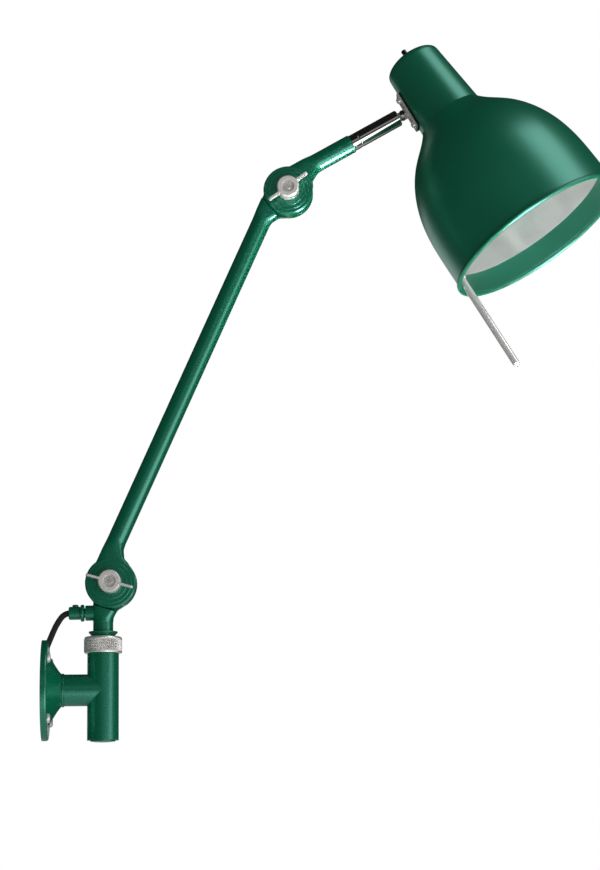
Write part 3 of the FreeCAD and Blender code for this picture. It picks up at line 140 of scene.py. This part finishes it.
def braided_tube(name, points, radius, sides):
    """A closed tube along points, with the relief of a braid on its skin."""
    mesh = bpy.data.meshes.new(name)
    form = bmesh.new()
    rings = []
    travel = 0.0
    for index, point in enumerate(points):
        before = points[max(index - 1, 0)]
        after = points[min(index + 1, len(points) - 1)]
        travel += (point - before).length
        along = (after - before).normalized()
        out = Vector((0.0, 1.0, 0.0)).cross(along).normalized()
        across = along.cross(out)
        ring = []
        for side in range(sides):
            turn = 2 * math.pi * side / sides
            reach = radius - BRAID_RELIEF + braid_height(turn, travel)
            aim = across * math.cos(turn) + out * math.sin(turn)
            ring.append(form.verts.new(point + aim * reach))
        rings.append(ring)
    for first, second in zip(rings, rings[1:]):
        for side in range(sides):
            beside = (side + 1) % sides
            form.faces.new((first[side], first[beside], second[beside], second[side]))
    form.faces.new(list(reversed(rings[0])))
    form.faces.new(rings[-1])
    bmesh.ops.recalc_face_normals(form, faces=form.faces)
    for face in form.faces:
        face.smooth = len(face.verts) == 4
    form.to_mesh(mesh)
    form.free()
    piece = bpy.data.objects.new(name, mesh)
    bpy.context.scene.collection.objects.link(piece)
    return piece


def make_lead():
    """The braided lead, which bends between the gland on the post and the flange."""
    points = spline_points(LEAD_ROUTE)
    lead = braided_tube("lead_braided", points, LEAD_DIAMETER / 2, LEAD_SIDES)
    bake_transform(lead)
    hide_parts("supply_lead")
    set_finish(lead, "black_textile")
    return lead


# ---------------------------------------------------------------- knurled nut

NUT_AXIS_X = 49.8 * MM
NUT_BOTTOM = 30.0 * MM
NUT_HEIGHT = 13.6 * MM
NUT_RADIUS = 15.7 * MM
NUT_SHOULDER = 1.6 * MM
NUT_BORE = 11.65 * MM
NUT_HOLE = 8.3 * MM
NUT_CEILING = 10.5 * MM
# The small chamfer under the nut, and the steps of the round shoulder above its knurl.
NUT_FOOT_INSET = 1.0 * MM
NUT_EDGE_INSET = 0.3 * MM
NUT_EDGE_HEIGHT = 0.25 * MM
SHOULDER_STEPS = 6
KNURL_COUNT = 58
KNURL_ROWS = 5
KNURL_DEPTH = 0.55 * MM
KNURL_SHARPNESS = 3
KNURL_LOW = 0.9 * MM
KNURL_HIGH = 11.9 * MM
KNURL_STEPS_AROUND = 6
KNURL_STEPS_UP = 7


def knurl_depth(turn, height):
    """How far the diamond knurl is cut in, at a turn and a height of the nut's side."""
    share = (height - KNURL_LOW) / (KNURL_HIGH - KNURL_LOW)
    if not 0.0 < share < 1.0:
        return 0.0
    rise = KNURL_ROWS * share
    lean = KNURL_COUNT * turn / (2 * math.pi)
    first = abs(((lean + rise) % 1.0) - 0.5) * 2
    second = abs(((lean - rise) % 1.0) - 0.5) * 2
    fade = min(share, 1.0 - share) * KNURL_ROWS
    return KNURL_DEPTH * max(first, second) ** KNURL_SHARPNESS * min(fade * 2, 1.0)


def nut_profile():
    """(radius, height) corners of the nut's outline, from its bore under and round to its hole."""
    top = NUT_HEIGHT
    rows = KNURL_ROWS * KNURL_STEPS_UP
    profile = [(NUT_BORE, NUT_CEILING), (NUT_BORE, 0.0), (NUT_RADIUS - NUT_FOOT_INSET, 0.0),
               (NUT_RADIUS - NUT_EDGE_INSET, NUT_EDGE_HEIGHT)]
    for row in range(rows + 1):
        profile.append((NUT_RADIUS, KNURL_LOW + (KNURL_HIGH - KNURL_LOW) * row / rows))
    for step in range(1, SHOULDER_STEPS + 1):
        turn = math.pi / 2 * step / SHOULDER_STEPS
        profile.append((NUT_RADIUS - NUT_SHOULDER * (1 - math.cos(turn)),
                        KNURL_HIGH + (top - KNURL_HIGH) * math.sin(turn)))
    profile += [(NUT_HOLE, top), (NUT_HOLE, NUT_CEILING)]
    return profile


def make_knurled_nut():
    """The ring nut; "groove" tells its finish how deep each point of the knurl lies, for its painted
    shade.
    """
    profile = nut_profile()
    around = KNURL_COUNT * KNURL_STEPS_AROUND
    vertices = []
    grooves = []
    for step in range(around):
        turn = 2 * math.pi * step / around
        for radius, height in profile:
            depth = knurl_depth(turn, height) if radius == NUT_RADIUS else 0.0
            radius -= depth
            vertices.append((NUT_AXIS_X + radius * math.cos(turn), radius * math.sin(turn),
                             NUT_BOTTOM + height))
            grooves.append(depth / KNURL_DEPTH)
    count = len(profile)
    faces = []
    for step in range(around):
        this, beside = step * count, (step + 1) % around * count
        for index in range(count):
            after = (index + 1) % count
            faces.append((this + index, beside + index, beside + after, this + after))
    mesh = bpy.data.meshes.new("clamp_nut_knurled")
    mesh.from_pydata(vertices, [], faces)
    # Depth share of each point, which the knurled_steel finish turns into painted shade.
    mesh.attributes.new("groove_shade", "FLOAT", "POINT").data.foreach_set("value", grooves)
    nut = bpy.data.objects.new("clamp_nut_knurled", mesh)
    bpy.context.scene.collection.objects.link(nut)
    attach(nut, "clamp_nut_ring")
    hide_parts("clamp_nut")
    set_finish(nut, "knurled_steel")
    return nut


# ---------------------------------------------------------------- finishes

# The top of the shade's cap and the direction of its axis, at rest.
SHADE_CAP = (0.311962, -0.013379, 0.543519)
SHADE_AXIS = (0.517091, -0.146715, -0.843262)
SHADE_LENGTH = 0.2013
GREEN_LIGHT = (0.0, 0.116, 0.056)
GREEN_DARK = (0.0, 0.105, 0.050)
GREEN_GLOSS = (0.36, 1.0, 0.84)
GREEN_INDEX = 2.33
BLACK_LIGHT = (0.012, 0.012, 0.012)
BLACK_DARK = (0.007, 0.007, 0.007)
PAINT_EDGE = 0.0005
METAL_EDGE = 0.0002
# Noise scales are in cells per metre, and depths in metres.
PAINT_CLOUD_SCALE = 14.0
PAINT_GLOSS_SCALE = 220.0
PAINT_GLOSS_RANGE = 0.02
PEEL_SCALE = 1400.0
PEEL_STRENGTH = 0.04
PEEL_DEPTH = 0.00004
METAL_DULL_SHARE = 0.92
METAL_GRAIN_DEPTH = 0.00005
# Rings of the spun reflector, in radians of a wave per metre of depth.
FINE_RINGS = 9000.0
BROAD_RINGS = 1700.0
RING_STRENGTH = 0.12
RING_DEPTH = 0.00004
REFLECTOR_GLOSS_SCALE = 120.0
YARN_STRENGTH = 0.6
YARN_DEPTH = 0.0002


class Finish:
    """A node material with short calls for its nodes."""

    def __init__(self, name):
        self.name = name
        self.material = bpy.data.materials.new(name)
        self.material.use_nodes = True
        self.tree = self.material.node_tree
        self.shader = self.tree.nodes["Principled BSDF"]
        self.place = None

    def set(self, **values):
        """Plain values for the shader's sockets, by name with _ for a space."""
        for name, value in values.items():
            self.shader.inputs[name.replace("_", " ")].default_value = value
        return self

    def put(self, socket, value):
        """Link a node's output to the socket, or give the socket a plain value."""
        if hasattr(value, "is_output"):
            self.tree.links.new(value, socket)
        else:
            socket.default_value = value

    def node(self, kind, **values):
        """A new node: capital names are its sockets, the others its own settings."""
        item = self.tree.nodes.new("ShaderNode" + kind)
        for name, value in values.items():
            if name[0].isupper():
                self.put(item.inputs[name.replace("_", " ")], value)
            else:
                setattr(item, name, value)
        return item

    def spot(self):
        """The point's place in the frame, as a node output."""
        if self.place is None:
            self.place = self.node("TexCoord").outputs["Object"]
        return self.place

    def noise(self, scale, detail=2.0, roughness=0.5):
        item = self.node("TexNoise", Vector=self.spot(), Scale=scale, Detail=detail,
                         Roughness=roughness)
        return item.outputs["Fac"]

    def ramp(self, factor, stops):
        item = self.node("ValToRGB", Fac=factor)
        elements = item.color_ramp.elements
        while len(elements) < len(stops):
            elements.new(0.5)
        for element, (position, colour) in zip(elements, stops):
            element.position = position
            element.color = (*colour, 1.0)
        return item.outputs["Color"]

    def spread(self, factor, low, high):
        """A number that goes from low to high as the factor goes from 0 to 1."""
        item = self.node("MapRange", Value=factor)
        item.inputs["To Min"].default_value = low
        item.inputs["To Max"].default_value = high
        return item.outputs["Result"]

    def calculate(self, kind, operation, *values):
        """A calculating node whose first sockets take the values, in order."""
        item = self.node(kind, operation=operation)
        for socket, value in zip(item.inputs, values):
            self.put(socket, value)
        return item

    def math(self, operation, *values):
        return self.calculate("Math", operation, *values).outputs["Value"]

    def feed(self, name, output):
        self.tree.links.new(output, self.shader.inputs[name])

    def soft_edges(self, radius):
        """Normals that round the sharp edges of a solid by the given radius."""
        return self.node("Bevel", samples=4, Radius=radius).outputs["Normal"]

    def bump(self, height, strength, distance, under=None):
        item = self.node("Bump", Height=height, Strength=strength, Distance=distance)
        if under is not None:
            self.tree.links.new(under, item.inputs["Normal"])
        self.feed("Normal", item.outputs["Normal"])


def paint(name, light, dark, roughness, index=1.5, tint=(1.0, 1.0, 1.0)):
    """Paint, rubber or plastic: a fine orange peel, a trace of colour change and soft gloss."""
    finish = Finish(name).set(IOR=index, Specular_Tint=(*tint, 1.0))
    cloud = finish.noise(PAINT_CLOUD_SCALE, detail=3.0)
    finish.feed("Base Color", finish.ramp(cloud, [(0.3, dark), (0.7, light)]))
    gloss = finish.spread(finish.noise(PAINT_GLOSS_SCALE), roughness - PAINT_GLOSS_RANGE,
                          roughness + PAINT_GLOSS_RANGE)
    finish.feed("Roughness", gloss)
    peel = finish.noise(PEEL_SCALE, detail=2.0, roughness=0.6)
    finish.bump(peel, PEEL_STRENGTH, PEEL_DEPTH, finish.soft_edges(PAINT_EDGE))
    return finish


def metal(name, colour, low, high, grain, strength, edge=None, share=1.0):
    """Bare metal whose grain varies its roughness; a share under 1 makes it brighter, less a mirror."""
    finish = Finish(name).set(Metallic=share)
    speck = finish.noise(grain, detail=4.0, roughness=0.65)
    dull = tuple(part * METAL_DULL_SHARE for part in colour)
    cloud = finish.noise(grain / 8, detail=3.0)
    finish.feed("Base Color", finish.ramp(cloud, [(0.3, dull), (0.7, colour)]))
    finish.feed("Roughness", finish.spread(speck, low, high))
    finish.bump(speck, strength, METAL_GRAIN_DEPTH, finish.soft_edges(edge) if edge else None)
    return finish


def knurled_steel():
    """Bright steel with painted shade: the knurl's colour goes dark down in its grooves."""
    finish = metal("knurled_steel", (0.9, 0.89, 0.86), low=0.24, high=0.34, grain=700.0,
                   strength=0.1, share=0.8)
    depth = finish.node("Attribute", attribute_name="groove_shade").outputs["Fac"]
    # Painted shade: near white on the knurl's tops to near black at the bottom of its grooves.
    stops = [(0.3, (0.98, 0.97, 0.93)), (0.9, (0.02, 0.02, 0.02))]
    finish.feed("Base Color", finish.ramp(depth, stops))
    return finish


def shade_depth(finish):
    """Distance along the shade's axis from the top of its cap, as a node output."""
    moved = finish.calculate("VectorMath", "SUBTRACT", finish.spot(), SHADE_CAP).outputs["Vector"]
    return finish.calculate("VectorMath", "DOT_PRODUCT", moved, SHADE_AXIS).outputs["Value"]


def spun_aluminium():
    """Polished reflector with the fine rings that spinning leaves."""
    finish = Finish("polished_aluminium").set(Metallic=0.85, Base_Color=(0.95, 0.95, 0.94, 1.0))
    depth = shade_depth(finish)
    fine = finish.math("SINE", finish.math("MULTIPLY", depth, FINE_RINGS))
    broad = finish.math("SINE", finish.math("MULTIPLY", depth, BROAD_RINGS))
    finish.bump(finish.math("ADD", fine, broad), RING_STRENGTH, RING_DEPTH)
    finish.feed("Roughness", finish.spread(finish.noise(REFLECTOR_GLOSS_SCALE), 0.12, 0.2))
    return finish


def textile():
    """Woven black cover of the lead: two sets of yarns that cross on a slant."""
    finish = Finish("black_textile").set(Roughness=0.85, Sheen_Weight=0.08)
    first = finish.node("TexWave", Vector=finish.spot(), Scale=420.0, Distortion=0.4,
                        bands_direction="DIAGONAL")
    second = finish.node("TexWave", Vector=finish.spot(), Scale=520.0, Distortion=0.4,
                         bands_direction="Z")
    yarns = finish.math("MULTIPLY", first.outputs["Fac"], second.outputs["Fac"])
    stops = [(0.0, (0.004, 0.004, 0.004)), (1.0, (0.024, 0.023, 0.022))]
    finish.feed("Base Color", finish.ramp(yarns, stops))
    finish.bump(yarns, YARN_STRENGTH, YARN_DEPTH)
    return finish


def make_finishes():
    """Every finish's material, by its name."""
    finishes = [
        paint("green_paint", GREEN_LIGHT, GREEN_DARK, roughness=0.27, index=GREEN_INDEX,
              tint=GREEN_GLOSS),
        paint("green_shade", GREEN_LIGHT, GREEN_DARK, roughness=0.35, index=GREEN_INDEX,
              tint=GREEN_GLOSS),
        metal("zinc_steel", (0.80, 0.79, 0.77), low=0.22, high=0.38, grain=900.0, strength=0.2,
              edge=METAL_EDGE, share=0.7),
        knurled_steel(),
        metal("wing_nut_metal", (0.82, 0.80, 0.77), low=0.34, high=0.50, grain=1600.0,
              strength=0.35, edge=METAL_EDGE, share=0.5),
        metal("chrome", (0.84, 0.83, 0.81), low=0.05, high=0.09, grain=60.0, strength=0.01,
              edge=METAL_EDGE),
        metal("bright_steel", (0.92, 0.91, 0.89), low=0.12, high=0.16, grain=300.0, strength=0.01,
              edge=METAL_EDGE, share=0.6),
        metal("satin_steel", (0.92, 0.91, 0.90), low=0.20, high=0.24, grain=500.0, strength=0.01,
              edge=METAL_EDGE, share=0.5),
        paint("black_steel", BLACK_LIGHT, BLACK_DARK, roughness=0.3),
        paint("black_rubber", BLACK_LIGHT, BLACK_DARK, roughness=0.7),
        paint("dark_polymer", (0.03, 0.03, 0.03), (0.02, 0.02, 0.02), roughness=0.5),
        paint("black_plastic", BLACK_LIGHT, BLACK_DARK, roughness=0.22),
        spun_aluminium(),
        textile(),
    ]
    return {finish.name: finish.material for finish in finishes}


# Chromed pieces that look less like mirrors than the stem does.
SPECIAL_FINISH = {
    "handle_rod": "satin_steel", "handle_clip": "satin_steel", "hinge_plate": "bright_steel",
    "hinge_plate_screws": "bright_steel", "hinge_plate_nuts": "bright_steel",
}


def dress(materials, made):
    """Give every CAD node and every made piece the finish of its slot."""
    slots = {row["node"]: row["material_slot"] for row in frame["record"]["subparts"]}
    slots.update(SPECIAL_FINISH)
    for name, item in frame["nodes"].items():
        item.data.materials.clear()
        item.data.materials.append(materials[slots[name]])
    for item in made:
        item.data.materials.append(materials[item["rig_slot"]])


# ---------------------------------------------------------------- stage and light

FLOOR_HEIGHT = -1.25
FLOOR_SIZE = 16.0
FLOOR_MIDDLE_X = 0.2
MIDDLE = Vector((0.21, 0.0, 0.25))
DOME_RADIUS = 3.2
# The dome's window, as compass angles from +X toward +Y, and its height above the middle.
WINDOW_FROM = 85.0
WINDOW_TO = 125.0
WINDOW_LOW = -30.0
WINDOW_HIGH = 8.0


def make_floor():
    """A plain pale floor, well below the lamp."""
    place = (FLOOR_MIDDLE_X, 0.0, FLOOR_HEIGHT)
    bpy.ops.mesh.primitive_plane_add(size=FLOOR_SIZE, location=place)
    floor = bpy.context.object
    floor.name = "floor"
    finish = Finish("floor").set(Base_Color=(0.86, 0.86, 0.85, 1.0), Roughness=0.9)
    floor.data.materials.append(finish.material)


def make_dome():
    """Dark walls and ceiling of the studio, which only mirrors and gloss see."""
    mesh = bpy.data.meshes.new("dome")
    form = bmesh.new()
    bmesh.ops.create_uvsphere(form, u_segments=72, v_segments=36, radius=DOME_RADIUS)
    bmesh.ops.translate(form, verts=form.verts, vec=MIDDLE)
    gone = []
    for face in form.faces:
        middle = face.calc_center_median()
        aim = (middle - MIDDLE).normalized()
        compass = math.degrees(math.atan2(aim.y, aim.x))
        height = math.degrees(math.asin(aim.z))
        in_window = WINDOW_FROM < compass < WINDOW_TO and WINDOW_LOW < height < WINDOW_HIGH
        if in_window or middle.z < FLOOR_HEIGHT:
            gone.append(face)
    bmesh.ops.delete(form, geom=gone, context="FACES")
    form.to_mesh(mesh)
    form.free()
    dome = bpy.data.objects.new("dome", mesh)
    bpy.context.scene.collection.objects.link(dome)
    finish = Finish("dome").set(Base_Color=(0.02, 0.02, 0.02, 1.0), Roughness=1.0,
                                Specular_IOR_Level=0.0)
    mesh.materials.append(finish.material)
    dome.visible_camera = False
    dome.visible_diffuse = False
    dome.visible_shadow = False
    dome.visible_transmission = False
    dome.visible_volume_scatter = False


def make_world(above, below):
    """White to cameras and mirrors; otherwise a fill that changes from above to below."""
    world = bpy.data.worlds.new("studio")
    bpy.context.scene.world = world
    world.use_nodes = True
    tree = world.node_tree
    tree.nodes.clear()
    output = tree.nodes.new("ShaderNodeOutputWorld")
    path = tree.nodes.new("ShaderNodeLightPath")
    place = tree.nodes.new("ShaderNodeTexCoord")
    split = tree.nodes.new("ShaderNodeSeparateXYZ")
    tree.links.new(place.outputs["Generated"], split.inputs[0])
    fill = tree.nodes.new("ShaderNodeMapRange")
    tree.links.new(split.outputs["Z"], fill.inputs["Value"])
    fill.inputs["From Min"].default_value = -1.0
    fill.inputs["From Max"].default_value = 1.0
    fill.inputs["To Min"].default_value = below
    fill.inputs["To Max"].default_value = above
    seen = path.outputs["Is Camera Ray"]
    for name in ("Is Glossy Ray", "Is Transmission Ray"):
        either = tree.nodes.new("ShaderNodeMath")
        either.operation = "MAXIMUM"
        tree.links.new(seen, either.inputs[0])
        tree.links.new(path.outputs[name], either.inputs[1])
        seen = either.outputs[0]
    light = tree.nodes.new("ShaderNodeBackground")
    tree.links.new(fill.outputs["Result"], light.inputs["Strength"])
    white = tree.nodes.new("ShaderNodeBackground")
    for background in (light, white):
        background.inputs["Color"].default_value = (1.0, 1.0, 1.0, 1.0)
    mix = tree.nodes.new("ShaderNodeMixShader")
    tree.links.new(seen, mix.inputs["Fac"])
    tree.links.new(light.outputs[0], mix.inputs[1])
    tree.links.new(white.outputs[0], mix.inputs[2])
    tree.links.new(mix.outputs[0], output.inputs["Surface"])


def make_lamp(name, direction, distance, width, height, radiance, roll=0.0, target=MIDDLE,
              spread=180.0):
    """A rectangular soft light that faces its target.

    Its radiance is the one given for the full spread of 180 degrees; a narrower spread sends
    the same power into a smaller cone, so it is brighter straight ahead.
    """
    data = bpy.data.lights.new(name, "AREA")
    data.shape = "RECTANGLE"
    data.size = width
    data.size_y = height
    data.energy = radiance * math.pi * width * height
    data.spread = math.radians(spread)
    lamp = bpy.data.objects.new(name, data)
    bpy.context.scene.collection.objects.link(lamp)
    aim = Vector(direction).normalized()
    lamp.location = target + aim * distance
    turn = aim.to_track_quat("Z", "Y").to_matrix() @ Matrix.Rotation(math.radians(roll), 3, "Z")
    lamp.rotation_euler = turn.to_euler()
    lamp.visible_camera = False


def make_light():
    """The fill and five soft lamps; the mouth lamp shines up into the shade's reflector."""
    make_world(above=0.25, below=0.70)
    make_lamp("high", (0.53, -0.34, 0.78), distance=1.9, width=1.1, height=1.1, radiance=2.3)
    make_lamp("side", (0.90, -0.41, 0.15), distance=1.9, width=1.1, height=0.6, radiance=1.2)
    make_lamp("low", (0.51, -0.70, -0.50), distance=1.8, width=2.5, height=1.4, radiance=1.9,
              roll=15.0)
    mouth = Vector(SHADE_CAP) + Vector(SHADE_AXIS) * SHADE_LENGTH
    make_lamp("mouth", SHADE_AXIS, distance=1.0, width=0.4, height=0.4, radiance=2.2,
              target=mouth, spread=24.0)
    make_lamp("front", (0.10, -0.96, 0.20), distance=2.5, width=1.6, height=0.9, radiance=0.2)


make_camera()
lead = make_lead()
nut = make_knurled_nut()
dress(make_finishes(), [lead, nut])
make_floor()
make_dome()
make_light()
bpy.context.scene.view_settings.view_transform = "Standard"
